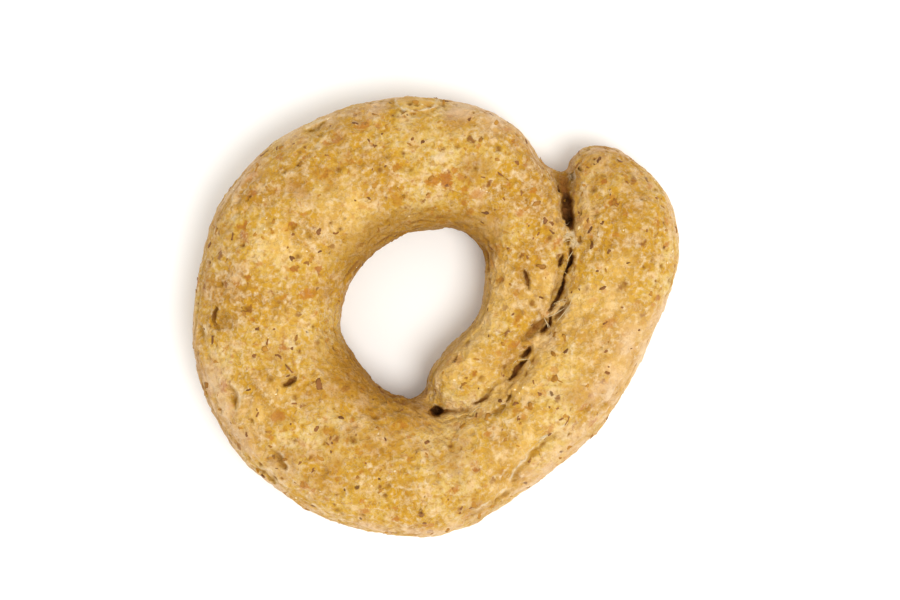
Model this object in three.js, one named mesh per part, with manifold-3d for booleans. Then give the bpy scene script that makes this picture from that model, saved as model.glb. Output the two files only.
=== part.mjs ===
// A tarallo: one rope of wholemeal dough curled into a ring, with its two ends lying side by side
// and pinched together, boiled and then baked. It is a single solid.
//
// Millimetres, +Z up. It lies flat on the face that the tray gave it. The origin is at the middle of
// the underside, X runs across the longer way of the ring, and the pinched ends are at +X.

import * as THREE from "three";
import { ImprovedNoise } from "three/addons/math/ImprovedNoise.js";
import { mergeVertices } from "three/addons/utils/BufferGeometryUtils.js";
import Module from "manifold-3d";

// ---- Driving sizes --------------------------------------------------------------------------------

const OVERALL_WIDTH = 42; // rim to rim along X

// Where the middle of the rope runs, from the inner end, up the right side, over the top, down the
// left side and back along the outer end: x, y and the rope's half-width there.
const ROPE_STATIONS = [
  [1.6, -5.7, 2.4],
  [6.5, -0.3, 3.0],
  [7.7, 7.4, 4.0],
  [3.2, 12.8, 5.4],
  [-4.6, 13.2, 6.0],
  [-11.8, 8.9, 6.7],
  [-14.8, 2.5, 6.5],
  [-14.3, -4.6, 6.6],
  [-9.4, -10.7, 6.4],
  [-1.4, -13.7, 5.8],
  [4.2, -12.2, 4.5],
  [10.2, -7.5, 4.5],
  [14.8, -0.4, 4.4],
  [16.3, 7.9, 4.8],
  [13.9, 13.5, 2.8],
];
const INNER_END_REACH = 2.7; // how far each rounded end runs past its last station
const OUTER_END_REACH = 1.7;

const HEIGHT_BASE = 4.9; // the rope's height is this, and a share of its width
const HEIGHT_SHARE = 0.48;
const TRAY_FLAT = 0.35; // what the tray takes off the rope's underside
const INNER_END_LIFT = 0.7; // the inner end rides up on the ring where it ends
const INNER_END_SHARE = 0.1; // over this share of the rope's length

const ROUND = 2.25; // exponent of the rope's rounded section, where 2 is an ellipse
const PRESSED = 3.2; // the same on the sides that are pressed together, which are flatter
const PRESSED_INNER = [0, 0.2]; // the share of the rope's length that each pressed side takes
const PRESSED_OUTER = [0.74, 1];
const PRESS_FADE = 0.06; // over which the section turns from round to pressed
const PRESSED_SMOOTHNESS = 0.85; // how much of the unevenness below pressing takes away

// The fused dough between the two ends, from the notch in the rim, along the crack, to the inner
// end's foot in the hole: x, y, half-width and how high it stands. It is a low web, so that an open
// crack is left over it.
const WEB_STATIONS = [
  [10.0, 12.3, 1.4, 6.0],
  [11.7, 8.8, 0.9, 5.6],
  [11.8, 6.6, 0.9, 7.4],
  [11.5, 3.6, 0.9, 6.6],
  [10.2, 0.3, 0.9, 6.6],
  [7.4, -3.6, 0.9, 6.8],
  [4.2, -6.7, 0.9, 6.9],
  [1.0, -8.1, 0.9, 6.4],
  [-1.2, -7.7, 1.0, 5.2],
];
const WEB_BOTTOM = 1.1;
const WEB_END_REACH = 0.9;
// Deeper holes in the crack: x, y, half-length, half-width and lowest point.
const CRACK_HOLES = [
  [11.6, 9.3, 1.7, 0.45, 3.4],
  [-0.1, -8.1, 0.5, 0.5, 3.8],
];
const CRACK_MOUTH = 12; // above the top of the dough

// The dough's uneven surface: waves of two sizes, and how far each moves it in or out.
const LUMP = { size: 6.5, height: 0.26 };
const CRUMB = { size: 1.9, height: 0.13 };
const UPPER_FADE = 0.25; // share of the half height over which marks fade out towards the underside
// Dents (positive) and swellings (negative) of the upper side: x, y, radius, depth.
const MARKS = [
  [9.6, 14.8, 1.6, 0.7], // the rim's dip into the notch
  [-18.2, -0.8, 0.8, 0.35], // a burst blister
  [-12.6, -11.2, 0.8, 0.25], // nicks in the rim
  [-16.4, -6.3, 0.8, 0.25],
  [-10.2, 16.2, 0.8, 0.3],
  [13.2, 6.3, 1.1, 0.3], // a thumb's soft hollow beside the crack
  [-1.3, -10.4, 1.6, 0.3],
  [-1.6, 18.0, 0.9, -0.35], // a scrap of dough baked onto the rim
  [14.4, -9.6, 1.4, -0.3], // a corner left by the fingers
];
// A fold along the outer side of the lower right: its line, its width and its depth.
const FOLD_LINE = [
  [5.6, -15.7],
  [7.1, -13.7],
  [8.3, -12.2],
  [9.8, -10.9],
  [11.9, -9.7],
  [15.2, -7.3],
];
const FOLD = { width: 0.75, depth: 0.4, fade: 1.6 };

const AROUND = 36; // facets round the rope, along it, and from its last station to its tip
const ALONG = 112;
const TIP_ROWS = 7;
const WEB_AROUND = 12;
const WEB_ALONG = 30;
const WEB_TIP_ROWS = 3;
const HOLE_AROUND = 12;
const HOLE_ROWS = 10;

const CRUST = { color: 0xd7a95c, roughness: 0.85, metalness: 0 };

// ---- Curves ---------------------------------------------------------------------------------------

const UP = new THREE.Vector3(0, 0, 1);

function smoothCurve(points) {
  return new THREE.CatmullRomCurve3(points, false, "catmullrom", 0.5);
}

const ropeLine = smoothCurve(ROPE_STATIONS.map(([x, y]) => new THREE.Vector3(x, y, 0)));
const ropeWidths = smoothCurve(ROPE_STATIONS.map(([, , w]) => new THREE.Vector3(w, 0, 0)));
const webLine = smoothCurve(WEB_STATIONS.map(([x, y]) => new THREE.Vector3(x, y, 0)));
const webSizes = smoothCurve(WEB_STATIONS.map(([, , w, top]) => new THREE.Vector3(w, top, 0)));
const foldLine = smoothCurve(FOLD_LINE.map(([x, y]) => new THREE.Vector3(x, y, 0)));

// The middle of the rope, its direction, the way to its rim side and its half-width, at a share of
// its length.
function ropeAt(share) {
  const t = ropeLine.getUtoTmapping(THREE.MathUtils.clamp(share, 0, 1));
  const along = ropeLine.getTangent(t);
  return {
    middle: ropeLine.getPoint(t),
    along,
    rim: along.clone().cross(UP),
    halfWidth: ropeWidths.getPoint(t).x,
  };
}

function within([low, high], share) {
  const { smoothstep } = THREE.MathUtils;
  return (
    smoothstep(share, low - PRESS_FADE, low + PRESS_FADE * 0.2) *
    (1 - smoothstep(share, high - PRESS_FADE * 0.2, high + PRESS_FADE))
  );
}

// How pressed the rope is on one side, from 0 to 1: the inner end on its rim side, the outer end on
// its hole side.
function pressing(share, onRimSide) {
  return within(onRimSide ? PRESSED_INNER : PRESSED_OUTER, share);
}

// ---- Relief ---------------------------------------------------------------------------------------

const noise = new ImprovedNoise();

function wave(p, { size, height }) {
  return height * noise.noise(p.x / size, p.y / size, p.z / size);
}

function markDepth(p) {
  return MARKS.reduce((sum, [x, y, radius, depth]) => {
    const away = Math.hypot(p.x - x, p.y - y) / radius;
    return sum + depth * Math.exp(-away * away);
  }, 0);
}

const foldPoints = foldLine.getSpacedPoints(40);
const foldLength = foldLine.getLength();

function foldDepth(p) {
  const { smoothstep } = THREE.MathUtils;
  let nearest = Infinity;
  let reached = 0;
  foldPoints.forEach((q, i) => {
    const away = Math.hypot(p.x - q.x, p.y - q.y);
    if (away < nearest) {
      nearest = away;
      reached = (i / (foldPoints.length - 1)) * foldLength;
    }
  });
  const start = smoothstep(reached, 0, FOLD.fade);
  const end = 1 - smoothstep(reached, foldLength - FOLD.fade, foldLength);
  return FOLD.depth * start * end * Math.exp(-((nearest / FOLD.width) ** 2));
}

// How far the surface stands out at a point of the rope, where upper is 1 on the upper side.
function relief(p, upper, pressed) {
  const bumps = wave(p, LUMP) + wave(p, CRUMB);
  return bumps * (1 - PRESSED_SMOOTHNESS * pressed) - upper * (markDepth(p) + foldDepth(p));
}

// ---- Bending a straight capsule into the rope -----------------------------------------------------

// A capsule of radius 1 along Y, of which each vertex is passed through place(share, over, side, up):
// share of the length, how far past an end (-1 to 1), and the place in the section.
function bentCapsule(around, along, tipRows, place) {
  const capsule = new THREE.CapsuleGeometry(1, 2, tipRows, around, along);
  const position = capsule.getAttribute("position");
  for (let i = 0; i < position.count; i++) {
    const y = position.getY(i);
    const straight = THREE.MathUtils.clamp(y, -1, 1);
    const p = place((straight + 1) / 2, y - straight, position.getX(i), position.getZ(i));
    position.setXYZ(i, p.x, p.y, p.z);
  }
  return capsule;
}

// Puts a point of the unit circle on a rounded square of the given exponent.
function squared(side, up, exponent) {
  const reach = Math.hypot(side, up);
  if (reach < 1e-6) return [0, 0];
  const sum = Math.abs(side / reach) ** exponent + Math.abs(up / reach) ** exponent;
  const grown = sum ** (-1 / exponent);
  return [side * grown, up * grown];
}

function ropeHeight(halfWidth) {
  return HEIGHT_BASE + HEIGHT_SHARE * 2 * halfWidth;
}

function placeOnRope(share, over, side, up) {
  const { middle, along, rim, halfWidth } = ropeAt(share);
  const pressed = pressing(share, side > 0) * THREE.MathUtils.smoothstep(Math.abs(side), 0, 0.5);
  const exponent = THREE.MathUtils.lerp(ROUND, PRESSED, pressed);
  const [across, upwards] = squared(side, up, exponent);
  const height = ropeHeight(halfWidth);
  const lifted = 1 - THREE.MathUtils.smoothstep(share, 0, INNER_END_SHARE);
  const lift = INNER_END_LIFT * lifted * Math.max(0, up);
  const reach = over < 0 ? INNER_END_REACH : OUTER_END_REACH;
  const centre = middle.clone().addScaledVector(UP, height / 2 - TRAY_FLAT);
  const p = centre
    .clone()
    .addScaledVector(along, over * reach)
    .addScaledVector(rim, across * halfWidth)
    .addScaledVector(UP, (upwards * height) / 2 + lift);
  const outwards = p.clone().sub(centre).normalize();
  const upper = THREE.MathUtils.smoothstep(up, -UPPER_FADE, UPPER_FADE);
  return p.addScaledVector(outwards, relief(p, upper, pressed));
}

function placeOnWeb(share, over, side, up) {
  const t = webLine.getUtoTmapping(share);
  const along = webLine.getTangent(t);
  const { x: halfWidth, y: top } = webSizes.getPoint(t);
  return webLine
    .getPoint(t)
    .addScaledVector(along, over * WEB_END_REACH)
    .addScaledVector(along.clone().cross(UP), side * halfWidth)
    .setZ(THREE.MathUtils.lerp(WEB_BOTTOM, top, (up + 1) / 2));
}

// ---- Solids ---------------------------------------------------------------------------------------

const wasm = await Module();
wasm.setup();

function solidFrom(geometry) {
  geometry.deleteAttribute("normal");
  geometry.deleteAttribute("uv");
  const closed = mergeVertices(geometry, 1e-4);
  return new wasm.Manifold(
    new wasm.Mesh({
      numProp: 3,
      vertProperties: closed.getAttribute("position").array,
      triVerts: new Uint32Array(closed.index.array),
    }),
  );
}

function geometryFrom(solid) {
  const mesh = solid.getMesh();
  const geometry = new THREE.BufferGeometry();
  geometry.setAttribute("position", new THREE.BufferAttribute(mesh.vertProperties, 3));
  geometry.setIndex(new THREE.BufferAttribute(mesh.triVerts, 1));
  geometry.computeVertexNormals();
  return geometry;
}

function rope() {
  return solidFrom(bentCapsule(AROUND, ALONG, TIP_ROWS, placeOnRope));
}

function web() {
  return solidFrom(bentCapsule(WEB_AROUND, WEB_ALONG, WEB_TIP_ROWS, placeOnWeb));
}

function crackHole([x, y, halfLength, halfWidth, lowest]) {
  const hole = new THREE.SphereGeometry(1, HOLE_AROUND, HOLE_ROWS);
  hole.scale(halfWidth, halfLength, CRACK_MOUTH - lowest);
  hole.translate(x, y, CRACK_MOUTH);
  return solidFrom(hole);
}

// Everything below the tray's face.
function tray() {
  const slab = new THREE.BoxGeometry(3 * OVERALL_WIDTH, 3 * OVERALL_WIDTH, 10);
  slab.translate(0, 0, -5);
  return solidFrom(slab);
}

function tarallo() {
  let dough = rope().add(web());
  for (const hole of CRACK_HOLES) dough = dough.subtract(crackHole(hole));
  const geometry = geometryFrom(dough.subtract(tray()));

  // To its overall width, with the origin at the middle of the underside.
  geometry.computeBoundingBox();
  const box = geometry.boundingBox;
  const scale = OVERALL_WIDTH / (box.max.x - box.min.x);
  const middle = box.getCenter(new THREE.Vector3());
  geometry.translate(-middle.x, -middle.y, 0);
  geometry.scale(scale, scale, scale);

  const mesh = new THREE.Mesh(geometry, new THREE.MeshStandardMaterial(CRUST));
  mesh.name = "tarallo";
  return mesh;
}

const part = new THREE.Group();
part.add(tarallo());

export default part;
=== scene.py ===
"""A tarallo: a small baked ring of wholemeal dough, seen from straight above on a pale floor.

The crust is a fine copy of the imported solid, roughened with lumps, crumb and pores, and opened along
the crack between the two pinched ends. Bran, husks, grains of semolina and threads of dough are pieces
of their own. Shapes are worked out in millimetres and put into the mesh in metres at the end.
"""

import logging
import math
import random
from dataclasses import dataclass, field
from enum import Enum
from functools import partial
from typing import Any, Callable, Iterable

import bmesh
import bpy
import numpy as np
from mathutils import Matrix, Vector, noise
from mathutils.bvhtree import BVHTree
from mathutils.kdtree import KDTree


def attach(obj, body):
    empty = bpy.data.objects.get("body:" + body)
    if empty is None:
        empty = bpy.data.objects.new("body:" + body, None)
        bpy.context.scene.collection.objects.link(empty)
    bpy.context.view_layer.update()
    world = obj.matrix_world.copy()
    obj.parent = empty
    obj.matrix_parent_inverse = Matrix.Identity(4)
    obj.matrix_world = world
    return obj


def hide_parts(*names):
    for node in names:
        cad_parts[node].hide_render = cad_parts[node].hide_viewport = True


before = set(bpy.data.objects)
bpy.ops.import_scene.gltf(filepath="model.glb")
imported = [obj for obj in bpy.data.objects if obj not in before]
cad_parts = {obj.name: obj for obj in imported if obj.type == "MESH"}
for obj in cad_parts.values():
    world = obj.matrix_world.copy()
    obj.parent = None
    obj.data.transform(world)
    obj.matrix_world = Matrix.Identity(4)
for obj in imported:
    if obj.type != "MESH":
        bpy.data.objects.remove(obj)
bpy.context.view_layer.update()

log = logging.getLogger("tarallo")

MM = 0.001  # metres in a millimetre
NODE = "tarallo"
BODY = "root"
ABOVE_MM = 30  # rays are cast down from here, well over the crust
SMOOTH = {"interpolation_type": "SMOOTHSTEP"}  # a Map Range that rises in an S

Array = np.ndarray
Socket = bpy.types.NodeSocket
Adder = Callable[..., bpy.types.Node]  # add_node for one material's tree
Point = tuple[float, float]
Span = tuple[float, float]  # from one value to another
Patch = tuple[float, float, float, float]  # x, y, radius and strength


# ---- Colour and nodes ------------------------------------------------------------------------------


def linear(hex_colour: str) -> tuple[float, float, float, float]:
    """Turns an sRGB hex colour into a linear one.

    Args:
        hex_colour: six hex digits, with or without a hash.

    Returns:
        Linear red, green and blue, and an alpha of one.
    """
    digits = hex_colour.lstrip("#")
    parts = [int(digits[i : i + 2], 16) / 255 for i in (0, 2, 4)]
    red, green, blue = (p / 12.92 if p <= 0.04045 else ((p + 0.055) / 1.055) ** 2.4 for p in parts)
    return red, green, blue, 1.0


def per_metre(size_mm: float) -> float:
    """The texture scale whose pattern repeats about every size_mm millimetres."""
    return 1 / (size_mm * MM)


def add_node(
    tree: bpy.types.NodeTree,
    kind: str,
    inputs: dict[str | int, Any] | None = None,
    stops: tuple[tuple[float, str], ...] = (),
    **settings: Any,
) -> bpy.types.Node:
    """Adds a shader node with its settings and links.

    Args:
        tree: the material's node tree.
        kind: the node's type, without its "ShaderNode" start.
        inputs: for each input, by name or number, a value, a socket, or a node for its first output.
        stops: a colour ramp's places and its hex colours.
        **settings: the node's own properties.

    Returns:
        The new node.
    """
    made = tree.nodes.new(f"ShaderNode{kind}")
    for name, value in settings.items():
        setattr(made, name, value)
    for name, value in (inputs or {}).items():
        source = value.outputs[0] if isinstance(value, bpy.types.Node) else value
        if isinstance(source, Socket):
            tree.links.new(source, made.inputs[name])
        else:
            made.inputs[name].default_value = source
    if stops:
        ramp = made.color_ramp.elements
        ramp.remove(ramp[-1])
    for i, (place, colour) in enumerate(stops):
        stop = ramp.new(place) if i else ramp[0]
        stop.position = place
        stop.color = linear(colour)
    return made


def new_material(name: str) -> tuple[bpy.types.Material, Adder]:
    """Makes an empty node material.

    Args:
        name: the material's name.

    Returns:
        The material, and add_node for its tree.
    """
    material = bpy.data.materials.new(name)
    material.use_nodes = True
    material.node_tree.nodes.clear()
    return material, partial(add_node, material.node_tree)


# ---- Finishes --------------------------------------------------------------------------------------


@dataclass(frozen=True)
class Spots:
    """One kind of spot painted on the crust: some cells of a cell pattern, each with a ragged disc."""

    colour: str
    room_mm: float  # the room that each spot has
    share: float  # of the cells that hold a spot
    radius: float  # of a usual spot, as a share of its room
    strength: float
    stretch: float = 1.0
    turn: tuple[float, float, float] = (0.0, 0.0, 0.0)
    whole: float = 0.7  # of those spots, the share that is at its full strength
    least: float = 0.9  # the smallest spot's reach before it is notched, in radii
    spread: float = 0.8  # how much further the largest one's goes, in radii
    notch: float = 1.3  # the deepest notch in its edge, in radii
    soft: float = 0.55  # the width of its soft edge, in radii


@dataclass(frozen=True)
class WholemealCrust:
    """Boiled and baked wholemeal crust: matt and dry, golden, mottled, freckled with bran."""

    honey: str = "#A5741A"
    golden: str = "#BF942F"
    straw: str = "#CCAC60"
    yolk: str = "#BE8C1C"
    cream: str = "#D9C198"
    # rose is pale dust on the sides and rim, with painted sheen and painted light
    rose: str = "#D4B08C"
    sand: str = "#D4B07C"
    bran: str = "#A06018"
    # olive, umber and the deepest brown are painted shade in cracks, dents, folds, pores and furrows
    olive: str = "#966A0E"
    umber: str = "#84521C"
    deepest_shade: str = "#5E3A16"
    # the gold of painted light, and of the lump on the top rim
    sun: str = "#E6BE70"
    # the brown of crust that baked darker, and of painted shade
    baked_and_shade_brown: str = "#9C661C"
    floury: str = "#CDBFA0"
    tray_brown: str = "#9A652A"
    spots: tuple[Spots, ...] = (
        Spots("#AC7A1E", 0.62, 0.5, 0.42, 0.65, 1.5, (0.5, 0.4, 0.2)),
        Spots("#B07F1C", 1.0, 0.42, 0.4, 0.6, 1.9, (0.2, 0.9, 1.3)),
        Spots("#AC6818", 1.3, 0.42, 0.42, 0.75, 2.0, (0.3, 0.2, 0.5)),
        Spots("#A25C16", 1.9, 0.34, 0.4, 0.8, 1.6, (0.9, 0.2, 1.7)),
        Spots("#AE6C1A", 0.9, 0.42, 0.42, 0.7, 1.8, (0.4, 1.1, 2.6)),
        Spots("#7E4A18", 1.1, 0.42, 0.36, 0.85, 1.7, (1.2, 0.5, 0.9)),
        Spots("#5A3414", 1.3, 0.42, 0.2, 0.9, 1.8, (0.1, 0.8, 2.1)),
        # painted glints: tiny whitish highlights
        Spots("#F4E2C0", 0.8, 0.2, 0.16, 0.7, 1.3, (0.7, 0.3, 1.1)),
    )

    tone_mm: float = 6.0  # broad patches that baked a little more or less
    patch_mm: float = 1.4  # yellow patches of semolina
    mottle_mm: float = 0.46  # grains of flour, light and dark
    strands_mm: Span = (0.75, 0.525)  # between thin pale ridges of dough, in a wide and a close set
    strand_edge: float = 0.1  # the difference of two noises at which a ridge ends
    strand_gaps: Span = (0.46, 0.56)  # a ridge is broken off below this noise, and whole above it
    strand_pale: float = 0.25
    grit_mm: float = 0.25
    warp_mm: float = 0.35  # how far the spots' outlines wander
    ragged_mm: float = 0.28  # the size of the notches in their edges
    full_tint: float = 0.7  # where an attribute is this or more, its tint is at its full strength
    tray_height_mm: float = 1.6  # how high the tray's browning reaches
    tray_strength: float = 0.7
    roughness: float = 0.74  # dry baked starch
    ior: float = 1.45
    specular: float = 0.25
    sheen: float = 0.28  # the dusty bloom that pales the rim
    sheen_roughness: float = 0.4
    sheen_tint: str = "#F4D8C0"
    sheen_kept: Span = (0.4, 0.05)  # the painted shade in hollows where the bloom is gone, and where it is whole
    bump_mm: float = 0.12
    mottle_rise: float = 1.5  # the grains' share of the bump, where the grit's is 1
    strand_rise: float = 0.3

    def material(self) -> bpy.types.Material:
        """Builds the crust's material from Object coordinates and the mesh's own attributes.

        Returns:
            The material.
        """
        material, add = new_material("wholemeal_crust")
        place = add("TexCoord").outputs["Object"]
        mottle = add(
            "TexNoise", {"Vector": place, "Scale": per_metre(self.mottle_mm), "Detail": 3.0}
        )
        strands = self._strands(add, place)
        colour = self._dough(add, place, mottle, strands)
        colour = self._spotted(add, place, colour)
        colour = self._stains_and_painted_light(add, place, colour)
        hollow_shade = add("Attribute", attribute_name="hollow_shade").outputs["Fac"]
        gone, whole = self.sheen_kept
        bloom = {"Value": hollow_shade, "From Min": gone, "From Max": whole, "To Max": self.sheen}
        shader = add(
            "BsdfPrincipled",
            {
                "Base Color": colour,
                "Roughness": self.roughness,
                "IOR": self.ior,
                "Specular IOR Level": self.specular,
                "Sheen Weight": add("MapRange", bloom, **SMOOTH),
                "Sheen Roughness": self.sheen_roughness,
                "Sheen Tint": linear(self.sheen_tint),
                "Normal": self._bump(add, place, mottle, strands),
            },
        )
        add("OutputMaterial", {"Surface": shader})
        return material

    @staticmethod
    def _layered(add: Adder, colour: Any, layers: Iterable[tuple[Any, float, float, float, Any]]) -> Socket:
        """Lays colours over one another, each one where its value says.

        Args:
            add: adds a node.
            colour: the colour below them all.
            layers: for each colour, its value, the values where it starts and where it is whole,
                how strong it is there, and the colour, as hex or as a node.

        Returns:
            The colour that comes out.
        """
        for value, start, whole, strength, over in layers:
            rise = {"Value": value, "From Min": start, "From Max": whole, "To Max": strength}
            share = add("MapRange", rise, **SMOOTH)
            top = linear(over) if isinstance(over, str) else over
            colour = add("Mix", {0: share, 6: colour, 7: top}, data_type="RGBA").outputs[2]
        return colour

    def _strands(self, add: Adder, place: Socket) -> bpy.types.Node:
        """Finds the thin ridges of dough that wander over the crust.

        Args:
            add: adds a node.
            place: the Object coordinates.

        Returns:
            The node that gives them, from 0 to 1.
        """
        low, high = self.strand_gaps
        sets = []
        for size in self.strands_mm:
            waves = add("TexNoise", {"Vector": place, "Scale": per_metre(size), "Detail": 1.0})
            draws = add("SeparateColor", {0: waves.outputs["Color"]})
            apart = add("Math", {0: draws, 1: draws.outputs[1]}, operation="SUBTRACT")
            away = add("Math", {0: apart}, operation="ABSOLUTE")
            edge = {"Value": away, "From Min": self.strand_edge, "From Max": 0.0}
            whole = {"Value": draws.outputs[2], "From Min": low, "From Max": high}
            both = {0: add("MapRange", edge, **SMOOTH), 1: add("MapRange", whole, **SMOOTH)}
            sets.append(add("Math", both, operation="MULTIPLY"))
        return add("Math", dict(enumerate(sets)), operation="MAXIMUM")

    def _dough(
        self, add: Adder, place: Socket, mottle: bpy.types.Node, strands: bpy.types.Node
    ) -> Socket:
        """Paints golden dough with broad tones, yellow patches, mottled grains and pale ridges.

        Args:
            add: adds a node.
            place: the Object coordinates.
            mottle: the grains' noise.
            strands: where the pale ridges are.

        Returns:
            The dough's colour.
        """
        tone = add("TexNoise", {"Vector": place, "Scale": per_metre(self.tone_mm), "Detail": 4.0})
        ground = add(
            "ValToRGB", {0: tone}, stops=((0.38, self.honey), (0.5, self.golden), (0.62, self.straw))
        )
        patch = add(
            "TexNoise",
            {"Vector": place, "Scale": per_metre(self.patch_mm), "Detail": 4.0, "Roughness": 0.6},
        )
        grains = add("SeparateColor", {0: mottle.outputs["Color"]})
        layers = (
            (patch, 0.48, 0.64, 0.95, self.yolk),
            (patch, 0.5, 0.34, 0.8, self.sand),
            (grains.outputs[1], 0.5, 0.74, 0.6, self.yolk),
            (grains.outputs[0], 0.48, 0.76, 0.8, self.cream),
            (grains.outputs[0], 0.5, 0.22, 0.9, self.honey),
            (grains.outputs[2], 0.55, 0.76, 0.7, self.bran),
        )
        colour = self._layered(add, ground, layers)
        crest = add("Math", {0: strands, 1: self.strand_pale}, operation="MULTIPLY")
        return add("Mix", {0: crest, 6: colour, 7: linear(self.cream)}, data_type="RGBA").outputs[2]

    def _spotted(self, add: Adder, place: Socket, colour: Socket) -> Socket:
        """Lays every kind of spot over the crust, with outlines that wander and are notched.

        Args:
            add: adds a node.
            place: the Object coordinates.
            colour: the colour below.

        Returns:
            The colour with its spots.
        """
        wander = add(
            "TexNoise", {"Vector": place, "Scale": per_metre(2 * self.warp_mm), "Detail": 3.0}
        )
        centred = add(
            "VectorMath", {0: wander.outputs["Color"], 1: (0.5, 0.5, 0.5)}, operation="SUBTRACT"
        )
        moved = add("VectorMath", {0: centred, "Scale": 2 * self.warp_mm * MM}, operation="SCALE")
        warped = add("VectorMath", {0: place, 1: moved}, operation="ADD")
        notches = add(
            "TexNoise", {"Vector": warped, "Scale": per_metre(self.ragged_mm), "Detail": 2.0}
        )
        for spots in self.spots:
            radius = spots.radius
            turned = add(
                "Mapping",
                {"Vector": warped, "Rotation": spots.turn, "Scale": (spots.stretch, 1.0, 1.0)},
                vector_type="TEXTURE",
            )
            cells = add("TexVoronoi", {"Vector": turned, "Scale": per_metre(spots.room_mm)})
            draws = add("SeparateColor", {0: cells.outputs["Color"]})
            chosen = {"Value": draws, "From Min": spots.share, "From Max": spots.share * spots.whole}
            edge = add(
                "Math",
                {0: notches, 1: radius * spots.notch, 2: cells.outputs["Distance"]},
                operation="MULTIPLY_ADD",
            )
            reach = add(
                "Math",
                {0: draws.outputs[1], 1: radius * spots.spread, 2: radius * spots.least},
                operation="MULTIPLY_ADD",
            )
            inside = add("Math", {0: reach, 1: edge}, operation="SUBTRACT")
            disc = {"Value": inside, "From Max": radius * spots.soft, "To Max": spots.strength}
            both = {0: add("MapRange", chosen, **SMOOTH), 1: add("MapRange", disc, **SMOOTH)}
            share = add("Math", both, operation="MULTIPLY")
            over = {0: share, 6: colour, 7: linear(spots.colour)}
            colour = add("Mix", over, data_type="RGBA").outputs[2]
        return colour

    def _stains_and_painted_light(self, add: Adder, place: Socket, colour: Socket) -> Socket:
        """Stains, dusts and paints shade and light on the crust by its mesh, and browns it on the tray.

        Args:
            add: adds a node.
            place: the Object coordinates.
            colour: the crust's colour.

        Returns:
            The tinted colour.
        """
        # Each attribute, the tint that goes with its value, and the tint's full strength
        tints = (
            # several of these paint light and shade: the gold, the darker brown, the pale rose and the
            # hollows' olive
            ("gold_and_painted_light", ((0.5, self.sun),), 0.35),
            ("baked_and_painted_shade", ((0.5, self.baked_and_shade_brown),), 0.5),
            ("amber", ((0.3, self.yolk), (0.8, self.bran)), 0.9),
            ("pale", ((0.3, self.cream), (0.9, self.floury)), 0.85),
            ("dust_and_painted_light", ((0.3, self.rose), (0.9, self.cream)), 0.75),
            # painted shade: olive in shallow hollows, umber deeper, the deepest brown in the deepest cracks
            ("hollow_shade", ((0.25, self.olive), (0.7, self.umber), (1.0, self.deepest_shade)), 1.0),
        )
        layers = []
        for name, stops, strength in tints:
            held = add("Attribute", attribute_name=name).outputs["Fac"]
            tint = add("ValToRGB", {0: held}, stops=stops)
            layers.append((held, 0.0, self.full_tint, strength, tint))
        height = add("SeparateXYZ", {0: place}).outputs["Z"]
        layers.append((height, self.tray_height_mm * MM, 0.0, self.tray_strength, self.tray_brown))
        return self._layered(add, colour, layers)

    def _bump(
        self, add: Adder, place: Socket, mottle: bpy.types.Node, strands: bpy.types.Node
    ) -> bpy.types.Node:
        """Roughens the crust with its grains, its ridges and a fine grit.

        Args:
            add: adds a node.
            place: the Object coordinates.
            mottle: the grains' noise.
            strands: where the ridges are.

        Returns:
            The bump node.
        """
        grit = add(
            "TexNoise",
            {"Vector": place, "Scale": per_metre(self.grit_mm), "Detail": 3.0, "Roughness": 0.6},
        )
        grains = add("Math", {0: mottle, 1: self.mottle_rise, 2: grit}, operation="MULTIPLY_ADD")
        height = add("Math", {0: strands, 1: self.strand_rise, 2: grains}, operation="MULTIPLY_ADD")
        return add("Bump", {"Height": height, "Strength": 1.0, "Distance": self.bump_mm * MM})


@dataclass(frozen=True)
class DryScrap:
    """Bran, husk, semolina or drawn-out dough in small dry scraps that baked into the crust."""

    name: str
    light: str
    dark: str
    darkest: float = 0.35  # the sum of tone and streak that gives the dark colour
    lightest: float = 0.99
    streak_mm: float = 0.25
    roughness: float = 0.6  # papery, a little smoother than the crumb round it
    ior: float = 1.45
    specular: float = 0.35

    def material(self) -> bpy.types.Material:
        """Builds the scraps' material: a tone for each scrap, with fine streaks in it.

        Returns:
            The material.
        """
        material, add = new_material(self.name)
        tone = add("Attribute", attribute_name="tone").outputs["Fac"]
        place = add("TexCoord").outputs["Object"]
        streaks = add(
            "TexNoise", {"Vector": place, "Scale": per_metre(self.streak_mm), "Detail": 3.0}
        )
        both = add("Math", {0: tone, 1: streaks}, operation="ADD")
        stops = ((self.darkest, self.dark), (self.lightest, self.light))
        shader = add(
            "BsdfPrincipled",
            {
                "Base Color": add("ValToRGB", {0: both}, stops=stops),
                "Roughness": self.roughness,
                "IOR": self.ior,
                "Specular IOR Level": self.specular,
            },
        )
        add("OutputMaterial", {"Surface": shader})
        return material


@dataclass(frozen=True)
class StudioPaper:
    """Seamless background paper: white, quite matt."""

    white: str = "#FAF9F6"
    roughness: float = 0.9
    specular: float = 0.2

    def material(self) -> bpy.types.Material:
        """Builds the paper's material.

        Returns:
            The material.
        """
        material, add = new_material("studio_paper")
        looks = {
            "Base Color": linear(self.white),
            "Roughness": self.roughness,
            "Specular IOR Level": self.specular,
        }
        add("OutputMaterial", {"Surface": add("BsdfPrincipled", looks)})
        return material


class Scrap(Enum):
    """What is scattered over the crust or strung across it, each with its skin."""

    FLAKE = DryScrap("wheat_bran", light="#AC7722", dark="#80500F")
    HUSK = DryScrap("wheat_husk", light="#865420", dark="#5A3512")
    GRAIN = DryScrap("semolina_grain", light="#E4D2A6", dark="#CFAE70")
    THREAD = DryScrap("dough_thread", light="#D2BF94", dark="#AE8F5C")


# ---- Meshes ----------------------------------------------------------------------------------------


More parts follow.
